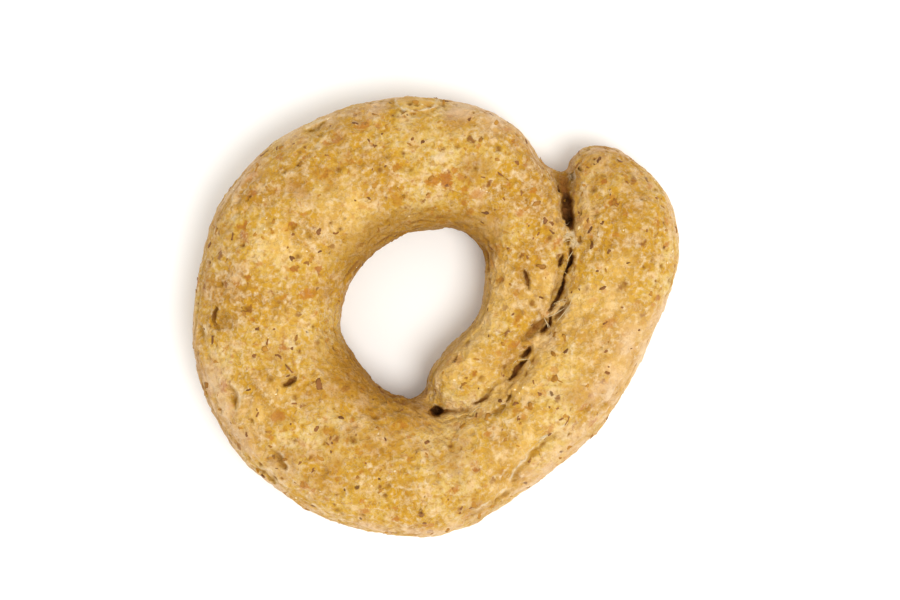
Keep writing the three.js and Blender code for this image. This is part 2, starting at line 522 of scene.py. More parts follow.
def new_piece(name: str, mesh: bpy.types.Mesh, material: bpy.types.Material) -> bpy.types.Object:
    """Puts a finished mesh into the scene as a piece of the tarallo.

    Args:
        name: the piece's name.
        mesh: its mesh, in metres.
        material: its material.

    Returns:
        The piece, which rides on the body.
    """
    mesh.name = name
    mesh.materials.clear()
    mesh.materials.append(material)
    mesh.shade_smooth()
    piece = bpy.data.objects.new(name, mesh)
    bpy.context.scene.collection.objects.link(piece)
    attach(piece, BODY)
    return piece


def in_metres(bm: bmesh.types.BMesh) -> bpy.types.Mesh:
    """Turns a bmesh in mm into a mesh in metres.

    Args:
        bm: the bmesh, which is freed.

    Returns:
        The mesh.
    """
    bmesh.ops.scale(bm, vec=(MM, MM, MM), verts=bm.verts)
    mesh = bpy.data.meshes.new("made")
    bm.to_mesh(mesh)
    bm.free()
    return mesh


def crust_surface(crust: bpy.types.Object) -> BVHTree:
    """The crust's surface in mm, to cast rays at."""
    mesh = crust.data
    return BVHTree.FromPolygons(
        [v.co / MM for v in mesh.vertices], [tuple(p.vertices) for p in mesh.polygons]
    )


def spot_below(surface: BVHTree, x: float, y: float) -> tuple[Vector, Vector]:
    """The surface's upper point at x and y, and its normal there."""
    return surface.ray_cast(Vector((x, y, ABOVE_MM)), Vector((0, 0, -1)))[:2]


def smooth_step(x: Array | float, low: float, high: float) -> Array | float:
    """Rises smoothly from 0 at low to 1 at high."""
    t = np.clip((x - low) / (high - low), 0.0, 1.0)
    return t * t * (3 - 2 * t)


def bell(x: Array | float, sharp: float = 1.0) -> Array | float:
    """Falls smoothly on both sides from 1 at 0, faster the sharper it is."""
    return np.exp(-(x**2) * sharp)


def lumps(vectors: Iterable[Vector], size: float) -> Array:
    """Noise from about -0.7 to 0.7 at each point, whose lumps are about size mm wide."""
    shift = Vector((3.7 * size, 1.3, 9.1))
    return np.array([noise.noise(v / size + shift) for v in vectors])


@dataclass
class Line:
    """A line drawn on the crust: stations of x, y, half-width and depth, in mm."""

    stations: list[tuple[float, float, float, float]]
    steps: int = 10
    margin: float = 1.6  # how far from the line its effect can reach
    broken: float = 0.4  # how unevenly it is cut along its length

    def samples(self) -> Array:
        """Draws smooth curves through the stations.

        Returns:
            The curves' points, one row each, with the same four values as a station.
        """
        s = np.array([self.stations[0], *self.stations, self.stations[-1]], dtype=float)
        t = (np.arange(self.steps) / self.steps)[:, None]
        curves = [
            0.5 * (2 * b + (c - a) * t + (2 * a - 5 * b + 4 * c - d) * t**2 + (3 * b - a - 3 * c + d) * t**3)
            for a, b, c, d in zip(s, s[1:], s[2:], s[3:])
        ]
        return np.vstack([*curves, s[-1:]])

    def near(self, xy: Array) -> Array:
        """Finds the points that lie in the line's box and its margin.

        Args:
            xy: points, one row each.

        Returns:
            Their numbers.
        """
        line = self.samples()[:, :2]
        low, high = line.min(axis=0) - self.margin, line.max(axis=0) + self.margin
        return np.flatnonzero(((xy > low) & (xy < high)).all(axis=1))

    def nearest(self, xy: Array) -> tuple[Array, Array, Array]:
        """Measures points against the line.

        Args:
            xy: points, one row each.

        Returns:
            Each point's distance, below 0 on the line's right, its nearest sample, and how far
            along the line that sample is.
        """
        line = self.samples()
        best = np.full(len(xy), np.inf)
        k = np.zeros(len(xy), dtype=int)
        for i, (x, y) in enumerate(line[:, :2]):
            away = (xy[:, 0] - x) ** 2 + (xy[:, 1] - y) ** 2
            closer = away < best
            best[closer] = away[closer]
            k[closer] = i
        ahead = np.gradient(line[:, :2], axis=0)[k]
        to = xy - line[k, :2]
        side = np.sign(ahead[:, 0] * to[:, 1] - ahead[:, 1] * to[:, 0])
        reached = np.concatenate([[0], np.cumsum(np.hypot(*np.diff(line[:, :2], axis=0).T))])
        return np.sqrt(best) * side, line[k], reached[k]


@dataclass
class Crack(Line):
    """A crack with steep ragged walls and a floor darkened with painted shade."""

    wall: Span = (0.45, 1.3)  # where its wall starts and ends, as shares of its width
    shoulder_mm: float = 0.25
    shoulder_depth: float = 0.15
    # painted shade on the soft shoulders beside the crack, and on its floor
    shoulder_dark: float = 0.34
    dark: float = 1.0
    least_dark: float = 0.25  # the share of its darkness that the shallowest stretch keeps
    broken: float = 0.15

    def profile(self, away: Array, at: Array) -> tuple[Array, Array, Array]:
        """Works out the crack's section.

        Args:
            away: each point's distance from the line, below 0 on its right.
            at: each point's nearest sample.

        Returns:
            Each point's depth in mm, how much painted shade it gets, and how pale it is.
        """
        wide, deep = at[:, 2], at[:, 3]
        wall = 1 - smooth_step(np.abs(away) / wide, *self.wall)
        soft = bell(away / (wide + self.shoulder_mm)) * np.clip(deep, 0, 1)
        depth = deep * wall + self.shoulder_depth * soft
        hollow_shade = self.dark * wall * np.clip(deep, self.least_dark, 1)
        return depth, np.maximum(hollow_shade, self.shoulder_dark * soft), 0 * depth


@dataclass
class Trough(Crack):
    """A broad shallow trough that a crack runs in, with sloping walls."""

    wall: Span = (0.2, 1.35)
    dark: float = 0.9


@dataclass
class Dent(Line):
    """A short rounded dent with a pale raised lip on the line's left."""

    bowl_sharp: float = 1.3
    lip_at: float = 1.5  # in half-widths
    lip_sharp: float = 5.0
    lip_height: float = 0.35  # as a share of the depth
    # its tints are painted: shade in the bowl, a highlight on the lip
    whole_tint: float = 3.0  # its tints are whole where the depth times this is 1 or more
    tint: float = 0.5

    def profile(self, away: Array, at: Array) -> tuple[Array, Array, Array]:
        """Works out the dent's section.

        Args:
            away: each point's distance from the line, below 0 on its right.
            at: each point's nearest sample.

        Returns:
            Each point's depth in mm, its painted shade, and how pale its painted highlight makes it.
        """
        across = away / at[:, 2]
        bowl = bell(across, self.bowl_sharp)
        lip = bell(across - self.lip_at, self.lip_sharp)
        strong = self.tint * np.minimum(at[:, 3] * self.whole_tint, 1)
        return at[:, 3] * (bowl - self.lip_height * lip), bowl * strong, lip * strong


@dataclass
class Fold(Line):
    """A fold of the dough's skin: a thin pale ridge with a soft hollow on its right."""

    ridge_mm: float = 0.1
    ridge_height: float = 0.7  # as a share of the depth
    # the ridge's pale is a painted highlight
    ridge_pale: float = 0.6
    hollow_at_mm: float = 0.36
    hollow_mm: float = 0.26
    hollow_depth: float = 0.8
    # painted shade in the hollow
    hollow_dark: float = 0.3
    whole_tint: float = 6.0
    broken: float = 0.7

    def profile(self, away: Array, at: Array) -> tuple[Array, Array, Array]:
        """Works out the fold's section.

        Args:
            away: each point's distance from the line, below 0 on its right.
            at: each point's nearest sample.

        Returns:
            Each point's depth in mm, its painted shade, and how pale its painted highlight makes it.
        """
        ridge = bell(away / self.ridge_mm)
        bowl = bell((away + self.hollow_at_mm) / self.hollow_mm)
        strong = np.minimum(at[:, 3] * self.whole_tint, 1)
        depth = at[:, 3] * (self.hollow_depth * bowl - self.ridge_height * ridge)
        return depth, self.hollow_dark * bowl * strong, self.ridge_pale * ridge * strong


def crust_marks() -> list[Line]:
    """Lists the marks that show on the crust, where the photo has them.

    Returns:
        The crack, the dents, the folds and the wrinkles.
    """
    return [
        # The crack between the two ends, from the notch in the rim to the hole, in broken stretches
        Trough([
            (10.8, 13.0, 0.7, 0.5), (11.0, 12.1, 0.8, 0.8), (11.25, 11.0, 0.6, 1),
        ], wall=(0.05, 1.35), dark=0.75),
        Crack([(10.75, 11.35, 0.12, 0.9), (10.7, 10.9, 0.12, 0.9)]),
        Crack([(11.1, 11.9, 0.16, 0.4), (11.3, 11.6, 0.2, 0.5), (11.6, 11.4, 0.12, 0.3)], dark=0.7),
        Crack([(12.3, 12.9, 0.12, 0.5), (12.5, 12.6, 0.14, 0.4)], dark=0.9),
        Crack([(10.4, 12.8, 0.12, 0.4), (10.1, 12.6, 0.12, 0.3)]),
        Crack([(11.55, 12.5, 0.1, 0.8), (11.7, 11.9, 0.1, 0.8)], dark=0.5),
        Crack([
            (11.35, 10.5, 0.46, 0.93), (11.35, 10.15, 0.52, 1.81), (11.4, 9.3, 0.52, 1.92),
            (11.5, 8.6, 0.48, 1.92), (11.7, 8.1, 0.38, 2.03), (11.75, 7.65, 0.2, 0.79),
        ]),
        Crack([(11.4, 6.5, 0.22, 0.5), (11.5, 6.25, 0.18, 0.4)]),
        Crack([(12.35, 6.85, 0.14, 0.5), (12.4, 6.5, 0.14, 0.5)]),
        Crack([
            (11.65, 5.9, 0.13, 0.7), (11.8, 5.35, 0.22, 1.1), (11.6, 4.65, 0.22, 1.2),
            (11.4, 3.95, 0.2, 1.1), (11.15, 3.5, 0.15, 0.8),
        ]),
        Crack([(10.9, 5.35, 0.14, 0.7), (10.8, 4.8, 0.19, 0.9), (10.65, 4.4, 0.12, 0.5)]),
        Crack([
            (11.1, 3.35, 0.12, 0.84), (11.0, 2.75, 0.17, 1.09), (10.75, 2.1, 0.16, 1),
            (10.5, 1.55, 0.18, 0.96), (10.2, 1.3, 0.12, 0.72),
        ]),
        Trough([
            (11.15, 4.6, 0.3, 0.3), (10.75, 3.4, 0.4, 0.4), (10.35, 2.4, 0.42, 0.45),
            (9.95, 1.4, 0.3, 0.3),
        ]),
        Crack([(10.15, 1.05, 0.2, 1.0), (9.9, 0.6, 0.16, 0.85)]),
        Crack([(11.3, 1.05, 0.2, 0.4), (10.8, 0.45, 0.3, 0.5), (10.35, -0.05, 0.2, 0.4)]),
        Crack([
            (9.95, 0.0, 0.15, 0.84), (9.9, -0.5, 0.16, 0.92), (9.6, -0.85, 0.19, 0.96),
            (9.3, -1.1, 0.21, 1.06), (9.0, -1.3, 0.12, 0.6),
        ]),
        Crack([
            (9.5, -0.25, 0.2, 0.4), (8.9, -0.75, 0.38, 0.6), (8.2, -1.35, 0.4, 0.58),
            (7.55, -1.85, 0.28, 0.4),
        ]),
        Crack([
            (8.2, -2.55, 0.1, 0.4), (8.05, -2.85, 0.2, 0.9), (7.7, -3.25, 0.2, 0.8),
            (7.3, -3.45, 0.12, 0.3),
        ]),
        Crack([
            (7.8, -3.75, 0.12, 0.5), (7.4, -4.0, 0.22, 0.95), (6.95, -4.4, 0.2, 0.8),
            (6.7, -4.9, 0.19, 0.9), (6.35, -5.25, 0.16, 0.7),
        ]),
        Crack([
            (6.25, -5.2, 0.2, 0.3), (5.55, -5.55, 0.22, 0.28), (5.1, -5.85, 0.2, 0.32),
            (4.7, -6.4, 0.2, 0.4), (4.25, -7.0, 0.16, 0.67), (3.85, -7.35, 0.16, 0.67),
            (3.25, -7.4, 0.1, 0.4),
        ]),
        Trough([
            (3.0, -7.9, 0.25, 0.35), (1.9, -8.15, 0.32, 0.5), (1.2, -8.15, 0.26, 0.55),
            (0.6, -8.2, 0.24, 0.7),
        ], dark=1.0),
        Crack([
            (0.6, -8.15, 0.2, 0.9), (0.4, -8.12, 0.4, 1.5), (0.05, -8.15, 0.48, 1.8),
            (-0.25, -8.2, 0.38, 1.3), (-0.5, -8.25, 0.2, 0.6),
        ]),
        Trough([
            (6.9, -3.6, 0.25, 0.25), (6.2, -4.6, 0.4, 0.35), (5.7, -5.3, 0.35, 0.3),
            (5.0, -6.0, 0.25, 0.15),
        ]),
        # A second line below the crack's lower stretches, and a slit on the inner end
        Crack([(6.4, -6.7, 0.15, 0.6), (6.05, -7.05, 0.12, 0.4)]),
        Crack([(5.8, -7.6, 0.22, 0.4), (5.3, -8.05, 0.34, 0.45), (4.7, -8.25, 0.2, 0.25)]),
        Crack([
            (4.0, -7.55, 0.1, 0.2), (3.0, -8.45, 0.1, 0.3), (1.85, -8.75, 0.1, 0.25),
            (0.75, -9.05, 0.1, 0.2),
        ]),
        Crack([(7.6, 3.95, 0.14, 0.7), (7.85, 3.35, 0.17, 0.85), (8.1, 2.4, 0.09, 0.35)]),
        # Dents along the rim, a burst blister, and scabs torn off the lower left
        Dent([
            (-17.7, -5.6, 0.16, 0.15), (-17.3, -6.3, 0.3, 0.45), (-17.0, -7.1, 0.32, 0.5),
            (-17.0, -7.7, 0.2, 0.25),
        ]),
        Dent([(-13.9, -11.25, 0.16, 0.15), (-13.3, -12.05, 0.32, 0.45), (-12.85, -12.9, 0.24, 0.25)]),
        Dent([(-15.1, -13.0, 0.16, 0.15), (-14.4, -13.45, 0.28, 0.4), (-13.8, -14.2, 0.22, 0.2)]),
        Dent([(-13.5, -13.95, 0.12, 0.15), (-12.95, -14.55, 0.2, 0.25)]),
        Dent([(-11.15, 15.85, 0.14, 0.15), (-10.35, 16.3, 0.26, 0.45), (-9.4, 16.75, 0.2, 0.25)]),
        Crack([
            (-18.6, 0.75, 0.2, 0.6), (-18.8, 0.3, 0.24, 0.7), (-18.75, -0.4, 0.2, 0.5),
            (-18.4, -1.0, 0.16, 0.3),
        ], dark=0.9),
        Trough([
            (-18.2, 0.2, 0.6, 0.35), (-17.9, -0.2, 0.75, 0.45), (-17.6, -0.6, 0.6, 0.3),
        ], wall=(0.3, 1.35), dark=0.8),
        Dent([(-20.1, -0.85, 0.2, 0.25), (-19.9, -1.4, 0.24, 0.4), (-19.8, -1.8, 0.15, 0.2)]),
        Crack([(-11.85, -5.1, 0.12, 0.5), (-12.1, -5.35, 0.28, 0.9), (-12.7, -5.75, 0.12, 0.7)]),
        # A soft hollow on the outer end, and the torn lip beside the crack
        Dent([(13.9, 7.7, 0.3, 0.15), (13.4, 6.8, 0.4, 0.2), (12.9, 6.0, 0.3, 0.12)]),
        Crack([(10.5, 2.8, 0.18, 0.3), (10.4, 2.1, 0.26, 0.4), (10.2, 1.6, 0.18, 0.3)], dark=0.5),
        # The thin pale edge of the golden lump on the top rim, a painted highlight
        Fold([
            (-3.45, 18.8, 0.1, 0.14), (-3.3, 18.2, 0.1, 0.2), (-2.7, 17.8, 0.1, 0.2),
            (-1.6, 17.65, 0.1, 0.2), (-0.6, 17.8, 0.1, 0.24), (0.0, 18.2, 0.1, 0.28),
            (0.15, 18.8, 0.1, 0.24),
        ], broken=0.4),
        # Long wrinkles along the rim
        Fold([(16.0, -6.7, 0.1, 0.06), (14.5, -8.1, 0.1, 0.12), (12.5, -9.6, 0.1, 0.06)]),
        Fold([(15.6, -5.8, 0.1, 0.05), (13.9, -7.6, 0.1, 0.1), (11.8, -9.5, 0.1, 0.08)]),
        Fold([
            (-20.2, -3.0, 0.1, 0.05), (-19.4, -6.5, 0.1, 0.1), (-18.0, -9.5, 0.1, 0.12),
            (-15.8, -12.4, 0.1, 0.1),
        ]),
        Fold([(-18.5, -7.0, 0.1, 0.05), (-17.0, -10.0, 0.1, 0.1), (-15.0, -12.2, 0.1, 0.06)]),
        Fold([
            (1.7, -17.15, 0.1, 0.08), (3.5, -16.45, 0.1, 0.12), (5.15, -15.4, 0.1, 0.18),
            (6.35, -14.55, 0.1, 0.24), (6.65, -13.75, 0.1, 0.28), (6.8, -13.1, 0.1, 0.28),
            (7.4, -12.45, 0.1, 0.28), (8.0, -11.55, 0.1, 0.3), (8.65, -10.8, 0.1, 0.18),
            (9.45, -10.15, 0.1, 0.28), (10.35, -9.7, 0.1, 0.24), (11.3, -9.05, 0.1, 0.1),
        ]),
    ]


@dataclass
class Skin:
    """The crust's points and their normals in mm, before its relief, with what lies at each of them."""

    points: Array
    normals: Array
    vectors: list[Vector]  # the points again

    @classmethod
    def read(cls, mesh: bpy.types.Mesh) -> "Skin":
        """Reads a mesh.

        Args:
            mesh: a mesh in mm.

        Returns:
            Its skin.
        """
        points, normals = np.empty((2, len(mesh.vertices) * 3))
        mesh.vertices.foreach_get("co", points)
        mesh.vertex_normals.foreach_get("vector", normals)
        points = points.reshape(-1, 3)
        return cls(points, normals.reshape(-1, 3), [Vector(p) for p in points])

    def away(self, x: float, y: float) -> Array:
        """How far each point is from x and y, seen from above."""
        return np.hypot(self.points[:, 0] - x, self.points[:, 1] - y)

    def glow(self, patches: Iterable[Patch], broken_mm: float) -> Array:
        """Spreads broad soft patches over the skin, the strongest at each point.

        Args:
            patches: each patch's x, y, radius and strength.
            broken_mm: the size of the noise that breaks them up a little.

        Returns:
            The strength at each point.
        """
        out = np.zeros(len(self.points))
        for x, y, radius, strength in patches:
            out = np.maximum(out, strength * bell(self.away(x, y) / radius))
        return out * (1 + lumps(self.vectors, broken_mm))


@dataclass
class Crust:
    """The ring itself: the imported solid's form with the baked dough's own surface."""

    close_mm: float = 0.3  # gaps up to twice this are closed first, and opened again as cracks
    coarse_mm: float = 0.3
    fine_mm: float = 0.14
    smooth_rounds: tuple[int, int] = (8, 4)  # for the coarse and for the fine mesh
    keep_share: float = 0.435  # of the faces, once the even stretches are thinned
    flat_mm: float = 0.12  # lower points are left as they are, so that it lies flat
    # The relief
    waves: tuple[Span, ...] = ((2.8, 0.2), (1.2, 0.22), (0.6, 0.15), (0.36, 0.07))  # size and height
    side_from: Span = (0.2, 0.7)  # how far a normal has turned from upwards where a side starts
    side_calm: float = 0.6  # how much smoother the sides are than the top
    wrinkle_mm: tuple[float, float, float] = (5.0, 0.55, 0.6)  # along the rope, across it and upwards
    wrinkle_height: float = 0.26
    wrinkle_top: float = 0.3  # the wrinkles' pattern at its highest
    pores: int = 650
    pore_radius: Span = (0.15, 0.4)
    pore_depth: Span = (0.06, 0.24)
    # the darkest painted shade in a pore
    pore_shade: float = 0.8
    pore_reach: float = 2.2  # in radii, as the next is
    pore_rim_at: float = 1.35
    pore_rim: float = 0.3  # how high its rim is, as a share of its depth
    pore_sharp: Span = (1.6, 9.0)  # its bowl and its rim
    torn_mm: float = 0.35  # how rough the torn dough in the hollows is
    torn_size: float = 0.38
    mark_lowest: float = 2.5
    mark_fades: Span = (0.0, 0.3)  # how far up a normal points where a mark fades out
    jitter_mm: float = 0.12  # how ragged the marks' edges are
    jitter_size: float = 0.4
    uneven_size: float = 0.9
    # The tints, painted shade and painted light among them
    # painted shade on the hole's wall, and painted light on the part that stays light
    hole_centre: Point = (-1.5, 0.9)
    hole_reach: Span = (7.5, 13.0)
    hole_facing: Span = (0.1, 0.8)  # how squarely a point of its wall faces it
    hole_shaded: Span = (0.1, 0.6)  # how squarely a wall lies towards Y or away from it where it darkens
    hole_lit: Point = (0.87, -0.5)  # the way to the part of the wall that stays light
    hole_lit_from: Span = (0.3, 0.75)
    hole_shade: float = 0.36
    hole_painted_shade_brown: float = 0.4
    # pale dust with painted sheen along the sides
    side_painted_sheen: float = 0.7
    bloom_mm: float = 2.2
    bloom_from: Span = (-0.25, 0.35)
    bloom_furrows: float = 0.6  # the share of the bloom that the wrinkles' furrows keep
    # painted shade in the furrows between the side wrinkles
    side_furrow_shade: float = 0.3
    furrows_from: Span = (-0.1, 0.3)  # how deep in the wrinkles' pattern the painted shade of the furrows lies
    dust_clear: Point = (2.0, 5.0)  # how soon the dust and painted light are gone in painted shade, and towards the hole
    under: Span = (-0.6, 0.1)  # how far up a normal points where the bloom starts, and is whole
    glow_mm: float = 1.3
    patch_lowest: float = 3.0
    patch_ragged: Span = (0.6, 0.28)  # the sizes of the notches in a patch's edge
    patch_edge: Span = (0.5, 1.1)  # in radii
    seed: int = 11
    rope: Line = field(
        default_factory=lambda: Line([
            (1.6, -5.7, 2.4, 0), (6.5, -0.3, 3.0, 0), (7.7, 7.4, 4.0, 0), (3.2, 12.8, 5.4, 0),
            (-4.6, 13.2, 6.0, 0), (-11.8, 8.9, 6.7, 0), (-14.8, 2.5, 6.5, 0), (-14.3, -4.6, 6.6, 0),
            (-9.4, -10.7, 6.4, 0), (-1.4, -13.7, 5.8, 0), (4.2, -12.2, 4.5, 0), (10.2, -7.5, 4.5, 0),
            (14.8, -0.4, 4.4, 0), (16.3, 7.9, 4.8, 0), (13.9, 13.5, 2.8, 0),
        ])
    )
    marks: list[Line] = field(default_factory=crust_marks)
    # Where the rim or the hole's edge is pressed in, or stands out: x, y, radius and depth
    nips: tuple[Patch, ...] = (
        (11.1, 12.8, 0.9, 0.45), (9.4, 14.2, 0.8, 0.2), (15.1, 14.8, 1.4, 0.35), (-8.1, -0.8, 1.3, 0.25),
        (-4.3, -6.2, 1.5, 0.3), (-17.4, -11.5, 2.2, -0.28), (20.9, 4.5, 2.0, -0.28),
    )
    # Stains of bran and yolk-yellow dough: x, y, radius and how brown they are
    stains: tuple[Patch, ...] = (
        (-2.4, 18.5, 0.9, 0.35), (-0.9, 18.5, 0.9, 0.35), (-9.1, 12.1, 0.6, 0.7), (-7.0, 13.1, 0.55, 0.7),
        (-3.3, 12.7, 0.45, 0.7), (-2.0, 14.5, 0.35, 0.45), (-3.3, 10.0, 0.6, 0.6),
        (-14.4, 12.5, 1.0, 0.45), (-16.5, 7.8, 0.5, 0.8), (-12.3, 7.8, 0.4, 0.8), (-13.8, -5.8, 0.5, 0.45),
        (-3.0, -9.0, 0.6, 0.7), (7.0, 0.1, 0.5, 0.7), (5.6, 3.3, 0.4, 0.7), (7.0, -8.0, 0.4, 0.6),
        (-13.7, 7.4, 0.3, 0.8), (-11.8, 4.2, 0.3, 1.0), (-15.8, 3.3, 0.25, 0.9), (8.1, -7.6, 0.3, 0.7),
        (3.4, -5.0, 0.35, 0.8), (10.2, -5.3, 0.3, 1.0), (15.2, 9.8, 0.35, 1.0), (18.9, 1.7, 0.35, 0.9),
        (14.4, 11.5, 0.35, 0.9), (12.0, 3.3, 0.35, 0.5), (12.0, 2.5, 0.35, 0.5),
    )
    # Broad soft darker patches: crust that baked darker, and painted shade
    baked_and_painted_shade: tuple[Patch, ...] = (
        (-18.6, 8.0, 2.4, 0.5), (-20.2, -4.6, 1.8, 0.45), (-17.3, 2.5, 3.0, 0.26), (-8.6, 14.0, 2.4, 0.42),
        (-6.0, 14.7, 2.4, 0.26), (-1.7, 15.5, 2.6, 0.26), (-9.5, 11.8, 1.8, 0.55), (14.0, 14.2, 2.2, 0.65),
        (14.2, 12.0, 2.6, 0.46), (16.8, 10.5, 2.6, 0.42), (4.4, 8.2, 1.8, 0.7), (-11.2, 10.4, 1.5, 0.7),
        (-9.0, 2.2, 1.3, 0.5), (-13.1, -3.2, 1.6, 0.4), (-10.0, -3.2, 1.8, 0.3), (1.2, -11.8, 2.4, 0.55),
        (17.0, 6.5, 2.0, 0.28), (-10.5, -7.0, 2.2, 0.44), (-8.0, -10.0, 2.4, 0.5), (-3.0, -10.6, 2.4, 0.5),
        (-9.5, -12.8, 2.4, 0.6), (-13.2, -8.4, 1.1, 0.5), (-12.8, -12.4, 1.6, 0.6),
        (-4.8, -10.6, 2.0, 0.6), (3.6, -16.4, 1.6, 0.6), (2.0, 16.8, 1.6, 0.6), (3.5, 12.6, 1.5, 0.6),
        (11.9, 12.2, 1.3, 0.6), (12.0, -6.8, 1.6, 0.5), (-5.0, -7.6, 2.0, 0.6), (-2.2, -8.4, 2.0, 0.8),
        (-8.2, -6.0, 1.6, 0.5),
    )
    # Broad pale patches: dust, and painted light on the rim
    dust_and_light_patches: tuple[Patch, ...] = (
        (18.2, -3.8, 2.2, 0.6), (15.0, -6.4, 2.2, 0.5), (16.6, -2.2, 1.8, 0.4), (17.2, -7.6, 1.8, 0.65),
        (19.3, -0.3, 1.8, 0.36), (15.8, -8.8, 2.2, 0.55), (13.0, -11.2, 2.0, 0.5), (9.4, -14.0, 2.2, 0.55),
        (-19.4, -5.5, 2.0, 0.42), (-18.4, -8.4, 2.0, 0.48), (-17.0, -11.2, 2.2, 0.48),
        (-14.4, -14.4, 2.0, 0.42), (-15.8, 13.2, 1.4, 0.4), (-12.6, 15.8, 1.4, 0.42),
        (-9.0, 17.5, 1.2, 0.42), (-5.4, 18.1, 1.2, 0.45), (2.2, 18.2, 1.4, 0.5), (5.2, 17.2, 1.5, 0.5),
    )
    # Broad bright golden patches: painted light, and the golden crumb of the lump on the top rim
    gold_and_painted_light: tuple[Patch, ...] = (
        (-2.4, 18.5, 0.9, 0.9), (-0.9, 18.5, 0.9, 0.9), (9.8, -2.8, 2.6, 0.45), (13.6, -2.6, 2.6, 0.4),
        (12.0, -5.5, 2.6, 0.4), (5.6, -12.0, 2.6, 0.45), (9.0, -8.8, 2.2, 0.35), (1.6, -4.4, 1.4, 0.7),
        (4.4, -4.4, 1.8, 0.6), (8.6, 1.6, 2.0, 0.5), (-12.6, -0.6, 2.0, 0.35), (12.0, 0.4, 1.8, 0.8),
        (9.6, 3.0, 1.6, 0.6), (7.7, -5.2, 1.6, 0.8), (7.7, -10.3, 1.6, 0.6), (5.6, -14.5, 1.4, 0.6),
        (-13.2, -6.2, 1.3, 0.7), (-15.2, -8.2, 1.5, 0.7), (-7.5, 8.6, 3.0, 0.6), (-12.6, 6.6, 2.4, 0.6),
        (11.7, 8.6, 1.5, 0.8), (16.0, 4.2, 1.4, 0.6), (16.0, -4.2, 1.6, 0.7), (14.5, 1.5, 2.4, 0.5),
        (16.5, -1.0, 2.4, 0.5),
    )
    # Floury patches: x, y, radius and how white they are
    floury: tuple[Patch, ...] = (
        (11.5, 7.1, 0.6, 0.6), (12.0, 6.4, 0.5, 0.5), (11.45, 12.35, 0.4, 1.2), (11.1, 0.6, 0.5, 0.5),
    )

    def build(self) -> bpy.types.Object:
        """Makes the crust.

        Returns:
            The piece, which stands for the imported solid.
        """
        mesh = self._fine_copy()
        skin = Skin.read(mesh)
        side = smooth_step(1 - skin.normals[:, 2], *self.side_from)
        wrinkles = self._wrinkles(skin)
        pitted, pore_shade_paint = self._pores(skin)
        carved, hollow_shade, pale = self._marked(skin)
        carved += hollow_shade * self.torn_mm * lumps(skin.vectors, self.torn_size)
        moved = skin.points + skin.normals * (self._relief(skin, side, wrinkles) - pitted)[:, None]
        moved[:, 2] -= carved
        floor = skin.points[:, 2] < self.flat_mm
        moved[floor, 2] = skin.points[floor, 2]
        moved[:, 2] = np.maximum(moved[:, 2], 0.0)
        mesh.vertices.foreach_set("co", (moved * MM).astype(np.float32).ravel())
        tints = {
            **self._tone_and_painted_light(skin, side, wrinkles, hollow_shade, pore_shade_paint),
            "pale": np.maximum(pale, self._patched(skin, self.floury)),
            "amber": self._patched(skin, self.stains),
        }
        for name, values in tints.items():
            attribute = mesh.attributes.new(name, "FLOAT", "POINT")
            attribute.data.foreach_set("value", np.clip(values, 0, 1).astype(np.float32))
        mesh.update()
        mesh = self._worked(mesh, (("DECIMATE", {"ratio": self.keep_share}),))
        piece = new_piece("tarallo_crust", mesh, WholemealCrust().material())
        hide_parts(NODE)
        return piece

    def _fine_copy(self) -> bpy.types.Mesh:
        """Makes a smooth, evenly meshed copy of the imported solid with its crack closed.

        Returns:
            The mesh, in mm.
        """
        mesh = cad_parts[NODE].data.copy()
        mesh.transform(Matrix.Scale(1 / MM, 4))
        bm = bmesh.new()
        bm.from_mesh(mesh)
        bmesh.ops.remove_doubles(bm, verts=bm.verts, dist=1e-3)
        bm.to_mesh(mesh)
        bm.free()
        mesh.materials.clear()
        coarse = ("REMESH", {"mode": "VOXEL", "voxel_size": self.coarse_mm})
        rounds, last_rounds = self.smooth_rounds
        steps = (
            coarse,
            ("DISPLACE", {"strength": self.close_mm, "mid_level": 0.0}),
            coarse,
            ("DISPLACE", {"strength": -self.close_mm, "mid_level": 0.0}),
            ("SMOOTH", {"factor": 0.5, "iterations": rounds}),
            ("REMESH", {"mode": "VOXEL", "voxel_size": self.fine_mm}),
            ("SMOOTH", {"factor": 0.5, "iterations": last_rounds}),
        )
        return self._worked(mesh, steps)

    @staticmethod
    def _worked(mesh: bpy.types.Mesh, steps: Iterable[tuple[str, dict[str, Any]]]) -> bpy.types.Mesh:
        """Passes a mesh through modifiers.

        Args:
            mesh: the mesh to start from, which is removed.
            steps: each modifier's type and settings.

        Returns:
            The mesh that comes out.
        """
        worker = bpy.data.objects.new("worker", mesh)
        bpy.context.scene.collection.objects.link(worker)
        for kind, settings in steps:
            modifier = worker.modifiers.new(kind.lower(), kind)
            for name, value in settings.items():
                setattr(modifier, name, value)
        depsgraph = bpy.context.evaluated_depsgraph_get()
        out = bpy.data.meshes.new_from_object(
            worker.evaluated_get(depsgraph), preserve_all_data_layers=True, depsgraph=depsgraph
        )
        bpy.data.objects.remove(worker)
        bpy.data.meshes.remove(mesh)
        return out

    def _wrinkles(self, skin: Skin) -> Array:
        """Works out a pattern of long wrinkles that follow the rope.

        Args:
            skin: the crust's points.

        Returns:
            The pattern at each point, from about -0.4 to 0.3.
        """
        away, _, reached = self.rope.nearest(skin.points[:, :2])
        along, across, up = self.wrinkle_mm
        lines = np.column_stack([reached / along, away / across, skin.points[:, 2] / up])
        return self.wrinkle_top - np.abs(lumps([Vector(p) for p in lines], 1.0))

